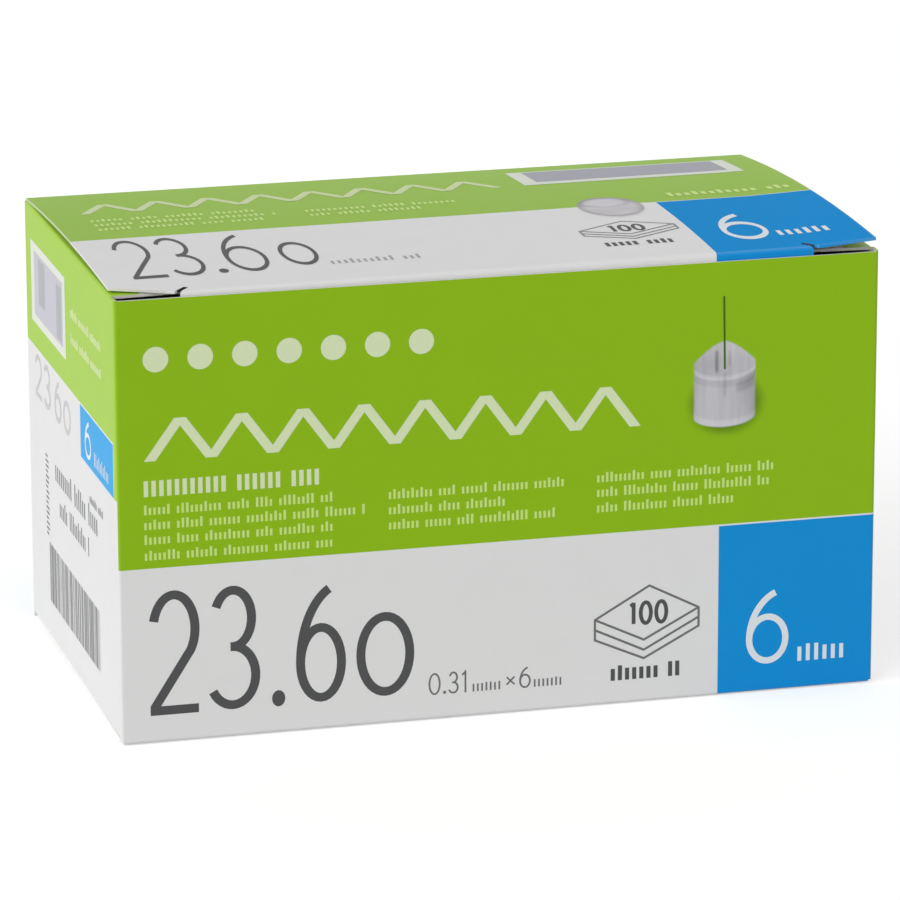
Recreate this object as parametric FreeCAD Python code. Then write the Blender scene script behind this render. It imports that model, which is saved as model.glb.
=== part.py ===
import FreeCAD, Part
import math
import os

# A folding carton of pen needles: one printed board, folded and glued, with a long tuck lid
# at its top, a hundred sealed needle pods standing inside in layers, and a folded leaflet.
# X runs across the front from left to right, Y from the front to the back, Z up.
# The origin lies on the underside, in the middle. All lengths are in millimetres.

# Outside of the folded carton, up to the creases at the tops of its two sides
width = 140.0
depth = 81.0
height = 81.0

# The board, and the outside radius of every fold in it
board = 0.5
fold_radius = 0.7

# The front panel's raw top edge lies this far below the creases of the sides
front_drop = 0.2

# Glued seam at the rear left corner: the left side lies over a flap that folds from the back
seam_setback = 0.3
glue_flap_width = 16.0
glue_flap_bevel = 6.0

# Two dust flaps at the top, one folded in from each side
dust_length = 36.0
dust_tilt = 1.0
dust_front_setback = 3.1
dust_shoulder_length = 14.0
dust_shoulder_step = 3.0
dust_taper = 17.0
dust_rear_setback = 1.2
dust_corner_radius = 5.0
dust_shoulder_radius = 1.0

# Four bottom flaps, glued over each other, the front one outermost
bottom_side_length = 36.0
bottom_edge_gap = 0.8
bottom_inner_length = 60.0
bottom_flap_taper = 4.0

# The lid panel is bowed: heights of its underside over the hinge line
lid_side_gap = 0.3
bow_left = 1.3
bow_right = 2.0
crease_rise_left = 0.2
crease_rise_right = 1.0
corner_lift_left = 0.0
corner_lift_right = 0.7

# The lid's two ears, outside the slits: how far their outer corners lie back from the crease
ear_setback_left = 5.0
ear_setback_right = 0.3

# The tuck flap hangs from the lid's front crease behind the front panel
tuck_depth = 15.0
tuck_clearance = 0.2
tuck_end_gap = 3.0
tuck_taper = 6.0
tuck_corner_radius = 6.0
tuck_shoulder_radius = 1.0
slit_length = 12.0
slit_height = 1.0
tuck_shoulder_drop = 1.5
tick_length = 2.4
tick_width = 0.9

# A sealed pod: a tapered cup with a flange, closed by a peel-off seal
pods_in_pack = 100
pod_height = 24.5
pod_base_radius = 6.8
pod_neck_radius = 7.6
pod_flange_radius = 8.4
pod_flange_height = 1.3
pod_sides = 12
pod_gap = 0.2
pod_wall_gap = 1.3
pod_tuck_gap = 0.9

# The folded leaflet stands between the pods and the back panel
leaflet_width = 120.0
leaflet_height = 70.0
leaflet_thickness = 1.4
leaflet_gap = 0.4

# Levels and lines that several pieces share
half_width = width / 2
half_depth = depth / 2
front_top = height - front_drop
floor_level = 3 * board
hinge_y = half_depth
hinge_z = height
lid_half_width = half_width - lid_side_gap
slit_start = half_width - slit_length
tuck_outer_radius = depth - board - tuck_clearance
tuck_inner_radius = tuck_outer_radius - board
tuck_top = height - slit_height
tuck_bottom = height - tuck_depth


def vector(x, y, z=0.0):
    return FreeCAD.Vector(x, y, z)


def line(start, end):
    return Part.makeLine(start, end)


def arc(start, middle, end):
    return Part.Arc(start, middle, end).toShape()


def left_normal(direction):
    return vector(-direction.y, direction.x)


def fold_corner(before, corner, after, thickness, radius):
    """Outer and inner arcs of one left-hand fold, whose outer faces would meet at the corner."""
    into = (corner - before).normalize()
    away = (after - corner).normalize()
    turn = into.getAngle(away)
    reach = radius * math.tan(turn / 2)
    start = corner - into * reach
    end = corner + away * reach
    centre = start + left_normal(into) * radius
    outward = (left_normal(into) + left_normal(away)).normalize() * -1
    outer = (start, centre + outward * radius, end)
    inner_radius = radius - thickness
    inner = (
        start + left_normal(into) * thickness,
        centre + outward * inner_radius,
        end + left_normal(away) * thickness,
    )
    return outer, inner


def folded_section(points, thickness, radius):
    """Flat section of a board that follows points on its outer face and folds to the left."""
    folds = []
    for before, corner, after in zip(points, points[1:], points[2:]):
        folds.append(fold_corner(before, corner, after, thickness, radius))
    first = left_normal((points[1] - points[0]).normalize()) * thickness
    last = left_normal((points[-1] - points[-2]).normalize()) * thickness
    edges = []
    outer_from = points[0]
    inner_from = points[0] + first
    for outer, inner in folds:
        edges += [line(outer_from, outer[0]), arc(*outer)]
        edges += [line(inner_from, inner[0]), arc(*inner)]
        outer_from = outer[2]
        inner_from = inner[2]
    edges += [line(outer_from, points[-1]), line(inner_from, points[-1] + last)]
    edges += [line(points[0], points[0] + first), line(points[-1], points[-1] + last)]
    return Part.Face(Part.Wire(Part.__sortEdges__(edges)))


def rounded_outline(corners):
    """Closed wire through corners, each given as a point and the radius that rounds it."""
    edges = []
    ends = []
    count = len(corners)
    for index, (point, radius) in enumerate(corners):
        before = corners[index - 1][0]
        after = corners[(index + 1) % count][0]
        into = (point - before).normalize()
        away = (after - point).normalize()
        if radius == 0:
            ends.append((point, point))
            continue
        turn = into.getAngle(away)
        reach = radius * math.tan(turn / 2)
        start = point - into * reach
        end = point + away * reach
        inward = (away - into).normalize()
        centre = point + inward * (radius / math.cos(turn / 2))
        edges.append(arc(start, centre - inward * radius, end))
        ends.append((start, end))
    for index in range(count):
        edges.append(line(ends[index - 1][1], ends[index][0]))
    return Part.Wire(Part.__sortEdges__(edges))


def prism(wire, travel):
    return Part.Face(wire).extrude(travel)


def block(x_span, y_span, z_span):
    size = [high - low for low, high in (x_span, y_span, z_span)]
    return Part.makeBox(*size, vector(x_span[0], y_span[0], z_span[0]))


def wall_frame(inward):
    """Placement of a wall's own frame: x inward from its outer face, y up, z along the wall."""
    along = inward.cross(vector(0, 0, 1))
    origin = vector(-inward.x * half_width, -inward.y * half_depth)
    matrix = FreeCAD.Matrix(
        inward.x, 0, along.x, origin.x,
        inward.y, 0, along.y, origin.y,
        0, 1, 0, 0,
        0, 0, 0, 1,
    )
    return FreeCAD.Placement(matrix)


def placed(shape, placement):
    moved = shape.copy()
    moved.Placement = placement.multiply(moved.Placement)
    return moved


# The walls: left side, front, right side and back in one strip, closed by the glued seam


def wall_strip():
    left_raw_edge = half_depth - seam_setback
    outer_face = [
        vector(-half_width, left_raw_edge),
        vector(-half_width, -half_depth),
        vector(half_width, -half_depth),
        vector(half_width, half_depth),
        vector(0, half_depth),
    ]
    back_and_seam = [
        vector(0, half_depth),
        vector(-half_width + board, half_depth),
        vector(-half_width + board, half_depth - glue_flap_width),
    ]
    tall = vector(0, 0, height - board)
    strip = folded_section(outer_face, board, fold_radius).extrude(tall)
    seam = folded_section(back_and_seam, board, fold_radius).extrude(tall)
    for part in (strip, seam):
        part.translate(vector(0, 0, board))
    return strip.fuse(seam.cut(glue_flap_bevels()))


def glue_flap_bevels():
    """Two wedges that bevel the ends of the flap in the glued seam."""
    inner_edge = half_depth - glue_flap_width
    near_wall = half_depth - board - fold_radius
    wedges = []
    for level, rise in ((floor_level, glue_flap_bevel), (height - board, -glue_flap_bevel)):
        corners = [
            vector(-half_width, inner_edge - board, level - rise),
            vector(-half_width, inner_edge - board, level + rise),
            vector(-half_width, near_wall, level),
            vector(-half_width, near_wall, level - rise),
        ]
        wedge = prism(Part.makePolygon(corners + corners[:1]), vector(3 * board, 0, 0))
        wedges.append(wedge)
    return wedges


def wall_trims():
    """What is cut from the strip's ends where the flaps fold away, and at the front's top edge."""
    across = half_width - fold_radius
    along = half_depth - fold_radius
    outside = half_width + board
    behind = half_depth + board
    side_start = -half_depth + dust_front_setback
    side_end = half_depth - dust_rear_setback
    trims = [
        block((-across, across), (-behind, -along), (front_top, height + board)),
        block((-across, across), (-behind, -along), (-board, fold_radius)),
        block((-across + board, across), (along, behind), (-board, board + fold_radius)),
    ]
    for low_x, high_x in ((-outside, -across), (across, outside)):
        fold_level = height - fold_radius
        trims.append(block((low_x, high_x), (side_start, side_end), (fold_level, height + board)))
        fold_level = 2 * board + fold_radius
        trims.append(block((low_x, high_x), (-along, along - board), (-board, fold_level)))
    return trims


# Flaps, each drawn in the frame of the wall that it folds from


def top_flap_section():
    rise = math.tan(math.radians(dust_tilt)) * dust_length
    points = [
        vector(dust_length, height + rise),
        vector(0, height),
        vector(0, height - 2 * fold_radius),
    ]
    face = folded_section(points, board, fold_radius)
    below = block((-board, fold_radius), (0, height - fold_radius), (-board, board))
    return face.cut(below)


def bottom_flap_section(level, length):
    points = [
        vector(0, level + 2 * fold_radius),
        vector(0, level),
        vector(length, level),
    ]
    face = folded_section(points, board, fold_radius)
    above = block(
        (-board, fold_radius),
        (level + fold_radius, level + 3 * fold_radius),
        (-board, board),
    )
    return face.cut(above)


def flap(section, outline):
    """A flap's section drawn out along its wall and cut to its outline of (inward, along)."""
    reach = half_width + half_depth
    sheet = section.extrude(vector(0, 0, 2 * reach))
    sheet.translate(vector(0, 0, -reach))
    corners = [(vector(inward, -board, along), radius) for inward, along, radius in outline]
    cutter = prism(rounded_outline(corners), vector(0, height + 4 * board + dust_length, 0))
    return sheet.common(cutter)


def dust_outline(front, back, toward_back):
    """Outline of a dust flap between its two ends on the crease, front shoulder included."""
    run = math.tan(math.radians(dust_taper)) * (dust_length - dust_shoulder_length)
    rear_run = math.tan(math.radians(dust_taper)) * dust_length
    shoulder = front + toward_back * dust_shoulder_step
    front_tip = shoulder + toward_back * run
    rear_tip = back - toward_back * rear_run
    return [
        (-board, front, 0),
        (dust_shoulder_length, front, dust_shoulder_radius),
        (dust_shoulder_length + dust_shoulder_step, shoulder, dust_shoulder_radius),
        (dust_length - board, front_tip, dust_corner_radius),
        (dust_length - board, rear_tip, dust_corner_radius),
        (fold_radius, back, 0),
        (-board, back, 0),
    ]


def dust_flaps():
    section = top_flap_section()
    front = -half_depth + dust_front_setback
    back = half_depth - dust_rear_setback
    left = flap(section, dust_outline(-front, -back, -1))
    right = flap(section, dust_outline(front, back, 1))
    return [
        placed(left, wall_frame(vector(1, 0, 0))),
        placed(right, wall_frame(vector(-1, 0, 0))),
    ]


def tapered_outline(half_run, length, taper):
    """Outline of a bottom flap that narrows by the taper at each end towards its free edge."""
    return [
        (-board, -half_run, 0),
        (fold_radius, -half_run, 0),
        (length, -half_run + taper, 0),
        (length, half_run - taper, 0),
        (fold_radius, half_run, 0),
        (-board, half_run, 0),
    ]


def bottom_flaps():
    across = half_width - fold_radius
    along = half_depth - fold_radius - board
    front_length = depth - bottom_edge_gap
    pieces = []
    front_outline = tapered_outline(across, front_length, bottom_edge_gap)
    front = flap(bottom_flap_section(0, front_length), front_outline)
    pieces.append(placed(front, wall_frame(vector(0, 1, 0))))
    back_outline = tapered_outline(across - board, bottom_inner_length, bottom_flap_taper)
    back = flap(bottom_flap_section(board, bottom_inner_length), back_outline)
    pieces.append(placed(back, wall_frame(vector(0, -1, 0))))
    side_outline = tapered_outline(along, bottom_side_length, bottom_flap_taper)
    side = flap(bottom_flap_section(2 * board, bottom_side_length), side_outline)
    for inward in (1, -1):
        pieces.append(placed(side, wall_frame(vector(inward, 0, 0))))
    return pieces


def carton_body():
    walls = wall_strip().cut(wall_trims())
    body = walls.fuse(dust_flaps() + bottom_flaps())
    return body.removeSplitter()


# The lid: a bowed panel, its front crease, and the tuck flap with a slit at each end


def hinge_point(x):
    return vector(x, hinge_y, hinge_z)


def between(left, right, x):
    share = (x + half_width) / width
    return left + (right - left) * share


def on_swing(x, radius, z):
    """Point at a height on a circle about the hinge, on the front side."""
    rise = z - hinge_z
    return vector(x, hinge_y - math.sqrt(radius**2 - rise**2), z)


def lid_bow(x, lift):
    """Centre and radius of the curve that the lid's underside follows at one station."""
    crease_z = hinge_z + between(crease_rise_left, crease_rise_right, x) + lift
    rear = hinge_point(x)
    front = on_swing(x, tuck_inner_radius, crease_z)
    rise = between(bow_left, bow_right, x) + lift / 2
    middle = vector(x, (rear.y + front.y) / 2, hinge_z + rise)
    curve = arc(rear, middle, front).Curve
    return curve.Center, curve.Radius


def on_bow(bow, x, y, offset):
    """Point over y on the lid's curve, moved outward by an offset."""
    centre, radius = bow
    full = radius + offset
    return vector(x, y, centre.z + math.sqrt(full**2 - (y - centre.y) ** 2))


def bow_edge(bow, x, rear_y, front_y, offset):
    middle_y = (rear_y + front_y) / 2
    return arc(
        on_bow(bow, x, rear_y, offset),
        on_bow(bow, x, middle_y, offset),
        on_bow(bow, x, front_y, offset),
    )


def rear_fold_edge(bow, x):
    """Rounded outside of the rear crease, from the hinge line to the top of the panel."""
    rear = hinge_point(x)
    top = on_bow(bow, x, hinge_y - board, board)
    bulge = board * math.sqrt(0.5)
    middle = vector(x, hinge_y - board + bulge, hinge_z + bulge)
    return arc(rear, middle, top)


def panel_section(x, lift, front_y):
    """Section of the lid panel alone, with a raw front edge, as in the slit's two zones."""
    bow = lid_bow(x, lift)
    edges = [
        bow_edge(bow, x, hinge_y, front_y, 0),
        line(on_bow(bow, x, front_y, 0), on_bow(bow, x, front_y, board)),
        bow_edge(bow, x, hinge_y - board, front_y, board),
        rear_fold_edge(bow, x),
    ]
    return Part.Wire(Part.__sortEdges__(edges))


def creased_section(x):
    """Section of the lid panel with its front crease and the top of the tuck flap."""
    bow = lid_bow(x, 0)
    crease_z = hinge_z + between(crease_rise_left, crease_rise_right, x)
    inner_crease = on_swing(x, tuck_inner_radius, crease_z)
    outer_corner = on_swing(x, tuck_outer_radius, crease_z + board)
    fold_top = on_bow(bow, x, outer_corner.y + fold_radius, board)
    fold_foot = on_swing(x, tuck_outer_radius, crease_z + board - fold_radius)
    inset = fold_radius * (1 - math.sqrt(0.5))
    fold_middle = vector(x, outer_corner.y + inset, fold_top.z - inset)
    inner_foot = on_swing(x, tuck_inner_radius, tuck_top)
    outer_foot = on_swing(x, tuck_outer_radius, tuck_top)
    half_way = (tuck_top + crease_z) / 2
    half_way_out = (tuck_top + fold_foot.z) / 2
    edges = [
        bow_edge(bow, x, hinge_y, inner_crease.y, 0),
        arc(inner_crease, on_swing(x, tuck_inner_radius, half_way), inner_foot),
        line(inner_foot, outer_foot),
        arc(outer_foot, on_swing(x, tuck_outer_radius, half_way_out), fold_foot),
        arc(fold_foot, fold_middle, fold_top),
        bow_edge(bow, x, hinge_y - board, fold_top.y, board),
        rear_fold_edge(bow, x),
    ]
    return Part.Wire(Part.__sortEdges__(edges))


def ruled_solid(first, last):
    return Part.makeLoft([first, last], True, True)


def tuck_flap():
    """The flap below the slits, curved about the hinge so that it swings clear of the front."""
    x = -half_width
    middle = (tuck_top + tuck_bottom) / 2
    radii = (tuck_inner_radius, tuck_outer_radius)
    inner, outer = [
        [on_swing(x, radius, z) for z in (tuck_top, middle, tuck_bottom)] for radius in radii
    ]
    edges = [arc(*inner), arc(*outer), line(inner[0], outer[0]), line(inner[2], outer[2])]
    sheet = prism(Part.Wire(Part.__sortEdges__(edges)), vector(width, 0, 0))
    end = half_width - tuck_end_gap
    tip = end - tuck_taper
    front = -half_depth
    corners = [
        (vector(-slit_start, front, tuck_top), 0),
        (vector(-end, front, tuck_top - tuck_shoulder_drop), tuck_shoulder_radius),
        (vector(-tip, front, tuck_bottom), tuck_corner_radius),
        (vector(tip, front, tuck_bottom), tuck_corner_radius),
        (vector(end, front, tuck_top - tuck_shoulder_drop), tuck_shoulder_radius),
        (vector(slit_start, front, tuck_top), 0),
    ]
    outline = prism(rounded_outline(corners), vector(0, half_depth, 0))
    return sheet.common(outline)


def tick(side):
    """Short slanted cut that ends a slit, towards the lid's middle and the back."""
    start_y = hinge_y - tuck_outer_radius
    cut = block(
        (-tick_width / 2, tick_width / 2),
        (-2 * board, tick_length),
        (tuck_top + board, hinge_z + bow_right + 4 * board),
    )
    cut.rotate(vector(0, 0, 0), vector(0, 0, 1), side * 45)
    cut.translate(vector(side * slit_start, start_y + board, 0))
    return cut


def tuck_lid():
    front_y = hinge_y - tuck_outer_radius
    lid = ruled_solid(creased_section(-slit_start), creased_section(slit_start))
    ears = []
    for side, lift, setback in (
        (-1, corner_lift_left, ear_setback_left),
        (1, corner_lift_right, ear_setback_right),
    ):
        outer = panel_section(side * lid_half_width, lift, front_y + setback)
        inner = panel_section(side * slit_start, 0, front_y)
        ears.append(ruled_solid(outer, inner))
    lid = lid.fuse(ears + [tuck_flap()])
    lid = lid.cut([tick(-1), tick(1)])
    return lid.removeSplitter()


# What the carton holds


def faceted_turning(profile, sides):
    """Closed solid of flat facets about the Z axis, through rings of (radius, height)."""
    rings = []
    for radius, z in profile:
        ring = []
        for step in range(sides):
            angle = 2 * math.pi * step / sides
            ring.append(vector(radius * math.cos(angle), radius * math.sin(angle), z))
        rings.append(ring)
    faces = [Part.Face(Part.makePolygon(ring + ring[:1])) for ring in (rings[0], rings[-1])]
    for low, high in zip(rings, rings[1:]):
        for step in range(sides):
            after = (step + 1) % sides
            corners = [low[step], low[after], high[after], high[step], low[step]]
            faces.append(Part.Face(Part.makePolygon(corners)))
    return Part.makeSolid(Part.makeShell(faces))


def pod():
    """A sealed pod standing on its closed end, its seal on top."""
    shoulder = pod_height - pod_flange_height
    profile = [
        (pod_base_radius, 0),
        (pod_neck_radius, shoulder),
        (pod_flange_radius, shoulder),
        (pod_flange_radius, pod_height),
    ]
    return faceted_turning(profile, pod_sides)


def pod_seats():
    """Places of one layer's pods, in rows that stand half a pitch apart."""
    pitch_at_least = 2 * pod_flange_radius + pod_gap
    first_x = -half_width + board + pod_wall_gap + pod_flange_radius
    room_x = -2 * first_x
    columns = int(room_x / pitch_at_least + 0.5)
    pitch_x = room_x / (columns - 0.5)
    tuck_foot = on_swing(0, tuck_inner_radius, tuck_bottom)
    first_y = tuck_foot.y + pod_tuck_gap + pod_flange_radius
    last_y = half_depth - board - 2 * leaflet_gap - leaflet_thickness - pod_flange_radius
    row_at_least = math.sqrt(pitch_at_least**2 - (pitch_x / 2) ** 2)
    rows = int((last_y - first_y) / row_at_least) + 1
    pitch_y = (last_y - first_y) / (rows - 1)
    seats = []
    for row in range(rows):
        shift = pitch_x / 2 * (row % 2)
        for column in range(columns):
            seats.append((first_x + column * pitch_x + shift, first_y + row * pitch_y))
    return seats


def pod_layers():
    """Every layer of pods, as even in number as they go, from the floor up."""
    seats = pod_seats()
    room = int((height - board - floor_level) / pod_height)
    layers = min(room, math.ceil(pods_in_pack / len(seats)))
    pods = min(pods_in_pack, layers * len(seats))
    result = []
    for layer in range(layers):
        count = pods // layers + (1 if layer >= layers - pods % layers else 0)
        level = floor_level + layer * pod_height
        solids = []
        for x, y in seats[:count]:
            copy = pod()
            copy.translate(vector(x, y, level))
            solids.append(copy)
        result.append(Part.makeCompound(solids))
    return result


def leaflet():
    """A sheet folded to a slim pad, its folded edge rounded, standing on the floor."""
    back = half_depth - board - leaflet_gap
    front = back - leaflet_thickness
    low = -leaflet_width / 2
    high = leaflet_width / 2
    fold = leaflet_thickness / 2
    edges = [
        line(vector(low, front), vector(high - fold, front)),
        arc(vector(high - fold, front), vector(high, front + fold), vector(high - fold, back)),
        line(vector(high - fold, back), vector(low, back)),
        line(vector(low, back), vector(low, front)),
    ]
    pad = prism(Part.Wire(edges), vector(0, 0, leaflet_height))
    pad.translate(vector(0, 0, floor_level))
    return pad


def build():
    nodes = {
        "carton_body": carton_body(),
        "tuck_lid": tuck_lid(),
        "instruction_leaflet": leaflet(),
    }
    for number, layer in enumerate(pod_layers(), 1):
        nodes[f"needle_pods_layer_{number}"] = layer
    os.makedirs("parts", exist_ok=True)
    for name, shape in nodes.items():
        shape.exportStep(f"parts/{name}.step")
        print(name, "solids", len(shape.Solids), "valid", shape.isValid(), "mm3", round(shape.Volume, 1))


build()
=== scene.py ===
# %% [markdown]
# # A folding carton of pen needles
#
# The object is a printed card carton that holds a hundred sealed pods. CAD has made its folded board, its
# bowed lid and plain solids for what is inside. Blender adds the looks: print, paper, plastic and light.
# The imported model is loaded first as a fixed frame, so every piece made here sits where CAD put it.

# %% Load the frame
import bpy
import math
import random
from mathutils import Vector, Matrix
from mathutils.bvhtree import BVHTree


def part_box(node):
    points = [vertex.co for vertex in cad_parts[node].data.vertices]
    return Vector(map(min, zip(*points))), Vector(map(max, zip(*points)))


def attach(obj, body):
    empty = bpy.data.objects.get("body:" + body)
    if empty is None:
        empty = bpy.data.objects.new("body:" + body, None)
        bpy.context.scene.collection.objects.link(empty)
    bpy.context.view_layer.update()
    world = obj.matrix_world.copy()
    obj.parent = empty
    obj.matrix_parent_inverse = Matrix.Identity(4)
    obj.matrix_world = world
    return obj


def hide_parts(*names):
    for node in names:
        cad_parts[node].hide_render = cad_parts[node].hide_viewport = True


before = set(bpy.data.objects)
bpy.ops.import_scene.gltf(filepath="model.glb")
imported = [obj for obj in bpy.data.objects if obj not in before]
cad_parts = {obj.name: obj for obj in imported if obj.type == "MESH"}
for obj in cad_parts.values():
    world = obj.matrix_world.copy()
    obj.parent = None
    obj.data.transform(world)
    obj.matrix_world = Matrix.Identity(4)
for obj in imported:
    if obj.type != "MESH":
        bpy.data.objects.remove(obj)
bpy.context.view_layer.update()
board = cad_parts["carton_body"]
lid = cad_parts["tuck_lid"]
MM = 0.001
width = 140.0
depth = 81.0
height = 81.0

# %% [markdown]
# ## Shader sums that read like sums
#
# A finish is a small recipe: masks, noises and colours that are added and mixed. Blender wants a node for
# each step. A class that wraps a socket lets the recipe be written as ordinary sums, and one method makes
# every other node from its type, its settings and what feeds it.

# %% The wire
class Wire:
    """One output of a material's node, which can stand in a sum like a number."""

    def __init__(self, recipe, socket):
        self.recipe = recipe
        self.socket = socket

    def maths(self, operation, first, second=0.0):
        return self.recipe.step("ShaderNodeMath", {"operation": operation}, {0: first, 1: second})

    def __add__(self, other):
        return self.maths("ADD", self, other)

    def __radd__(self, other):
        return self.maths("ADD", other, self)

    def __sub__(self, other):
        return self.maths("SUBTRACT", self, other)

    def __rsub__(self, other):
        return self.maths("SUBTRACT", other, self)

    def __mul__(self, other):
        return self.maths("MULTIPLY", self, other)

    def __rmul__(self, other):
        return self.maths("MULTIPLY", other, self)

    def __neg__(self):
        return self.maths("MULTIPLY", self, -1.0)

    def __pow__(self, exponent):
        return self.maths("POWER", self, exponent)

    def __abs__(self):
        return self.maths("ABSOLUTE", self)


print("wires can be joined with + - * ** and abs")

# %% [markdown]
# The recipe makes the nodes. Its helpers are what every finish here needs: a soft step at a line, a band
# between two lines, an ellipse, a tone, noise of a given grain, and one shader at the end.

# %% The recipe
class Recipe:
    """A material whose nodes are written step by step."""

    def __init__(self, name):
        self.material = bpy.data.materials.new(name)
        self.material.use_nodes = True
        self.tree = self.material.node_tree
        self.tree.nodes.clear()

    def step(self, kind, settings=(), feeds=(), take=0):
        node = self.tree.nodes.new(kind)
        for key, value in dict(settings).items():
            setattr(node, key, value)
        for key, value in dict(feeds).items():
            if isinstance(value, Wire):
                self.tree.links.new(value.socket, node.inputs[key])
            else:
                node.inputs[key].default_value = value
        return Wire(self, node.outputs[take])

    def edge(self, value, at, soft=0.04):
        """0 below a line and 1 above it, with a soft step between."""
        limits = {"Value": value, "From Min": at - soft, "From Max": at + soft}
        return self.step("ShaderNodeMapRange", {"interpolation_type": "SMOOTHSTEP"}, limits)

    def between(self, value, low, high, soft=0.04):
        return self.edge(value, low, soft) * (1 - self.edge(value, high, soft))

    def larger(self, first, second):
        return self.step("ShaderNodeMath", {"operation": "MAXIMUM"}, {0: first, 1: second})

    def reach(self, wide, deep):
        """Distance from the middle of an ellipse, in shares of its radii."""
        return self.step("ShaderNodeMath", {"operation": "SQRT"}, {0: wide * wide + deep * deep})

    def toned(self, ink, tone):
        """An ink made lighter or darker by a tone that may vary."""
        return self.step("ShaderNodeVectorMath", {"operation": "SCALE"}, {0: ink, "Scale": tone})

    def mix(self, share, under, over):
        feeds = {0: share, 6: colour(under), 7: colour(over)}
        return self.step("ShaderNodeMix", {"data_type": "RGBA"}, feeds, 2)

    def noise(self, grain_mm, detail=3.0, stretch=(1, 1, 1), roughness=0.55):
        """Noise of a given grain size that stays with the piece; stretch draws the grain out."""
        place = self.step("ShaderNodeTexCoord", take="Object")
        scaled = self.step("ShaderNodeVectorMath", {"operation": "MULTIPLY"},
                           {0: place, 1: [1 / (MM * grain_mm * s) for s in stretch]})
        return self.step("ShaderNodeTexNoise", {},
                         {"Vector": scaled, "Scale": 1.0, "Detail": detail, "Roughness": roughness})

    def axis(self, output, letter):
        """One axis of a texture coordinate, in millimetres for Object and bare for Normal."""
        whole = self.step("ShaderNodeTexCoord", take=output)
        part = self.step("ShaderNodeSeparateXYZ", {}, {0: whole}, letter)
        return part * (1 / MM) if output == "Object" else part

    def finish(self, base, roughness, bump, bump_mm, **fixed):
        """Ends the recipe in one Principled shader, with a bump of a given depth."""
        relief = {"Strength": 1.0, "Distance": bump_mm * MM, "Height": bump}
        feeds = {"Base Color": colour(base), "Roughness": roughness,
                 "Normal": self.step("ShaderNodeBump", {}, relief)}
        for name, value in fixed.items():
            feeds[name.replace("_", " ")] = value
        shader = self.step("ShaderNodeBsdfPrincipled", {}, feeds)
        self.step_out(shader)
        return self.material

    def step_out(self, shader):
        out = self.tree.nodes.new("ShaderNodeOutputMaterial")
        self.tree.links.new(shader.socket, out.inputs["Surface"])


def colour(value):
    """A colour socket wants four numbers; a wire passes through."""
    return value if isinstance(value, Wire) else (*value[:3], 1.0)


def screen(red, green, blue):
    """Linear light from the 0 to 255 values that a screen shows."""
    shares = [c / 255 for c in (red, green, blue)]
    return tuple(c / 12.92 if c < 0.04045 else ((c + 0.055) / 1.055) ** 2.4 for c in shares)


print("a mid grey is", round(screen(128, 128, 128)[0], 3), "in linear light")

# %% [markdown]
# ## Inks and board
#
# The carton is printed in three inks on white coated board: a fresh green, a clear blue and dark grey.
# The two sides use lighter copies of the green and the blue, painted light that stands in for the lamp on
# the lit left side. The other colours are set as they look in plain light.

# %% Ink colours
green = screen(148, 195, 14)
# Painted light: lighter copies of the green and the blue, for the side that the lamp lights.
painted_light_green = screen(170, 213, 60)
painted_light_blue = screen(0, 170, 240)
blue = screen(0, 150, 226)
white = screen(238, 238, 238)
raw_board = screen(232, 230, 224)
dark_grey = screen(84, 84, 86)
coat_roughness = 0.46
raw_roughness = 0.85
coat_relief = 0.012
coat_gloss = 0.2
print("inks:", [tuple(round(c, 3) for c in ink) for ink in (green, blue, white, dark_grey)])

# %% [markdown]
# The fields of ink meet along straight lines, with a thin white line between green and blue. Their places
# are in millimetres: up from the foot, along from the left end of a long face, and inward from the front.

# %% Where the fields meet
long_green_foot = 32.2
long_blue_head = 31.9
long_blue_left = 110.4
side_green_foot = 54.9
side_blue_foot = 44.8
side_blue_head = 54.6
side_blue_front = 2.2
side_blue_rear = 31.3
side_strip = 1.9
lid_green_front = 38.2
lid_blue_rear = 37.9
lid_blue_left = 109.7
print("green covers", round(height - long_green_foot, 1), "mm of the front's height")

# %% [markdown]
# One finish serves all of the board. Its ink is a little mottled under a semi-gloss coat and is rubbed pale
# at the folds. Where nothing is printed it gives way to matt, fibrous raw board.

# %% Coated board
def coated_board(recipe, ink_colour, printed, closeness, matter=0.0, painted_shade=0.0):
    """Mottled ink with a semi-gloss coat over fibrous board.

    closeness is 1 at a fold, where the ink is rubbed white. matter dulls the coat. The last argument
    darkens raw board as painted shade, for cut walls that lie in shadow.
    """
    cloud = recipe.noise(9.0, 2.0)
    mottle = recipe.noise(0.35, 4.0)
    fibre = recipe.noise(0.12, 3.0, (6, 1, 1))
    ink_tone = 0.965 + 0.05 * cloud + 0.02 * mottle
    ink = recipe.toned(ink_colour, ink_tone)
    rub = recipe.noise(0.22, 5.0, (1, 1, 1), 0.7)
    worn = recipe.mix(closeness * (0.03 + 0.14 * rub), ink, white)
    # The last argument darkens the raw board: painted shade where it lies in shadow.
    paper = recipe.toned(raw_board, (0.9 + 0.14 * fibre) * (1 - painted_shade))
    base = recipe.mix(printed, paper, worn)
    sheen_break = 0.05 * cloud + 0.07 * mottle
    dullness = printed * (coat_roughness - raw_roughness) + raw_roughness
    roughness = dullness + sheen_break - 0.06 + closeness * 0.08 + matter
    relief = mottle * 0.35 + fibre * 0.3 + recipe.noise(2.4, 2.0) * 0.9
    return recipe.finish(base, roughness, relief, coat_relief, Specular_IOR_Level=coat_gloss)


print("roughness of coated board", coat_roughness, "and of raw board", raw_roughness)

# %% [markdown]
# The front and back share one layout: green above, white below, and a blue field at the right end of the
# white. The two sides share another. Masks in millimetres of the board's own place are sharper than any
# picture, and they fold round the corners with the board. A point's layout follows the way it faces.

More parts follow.
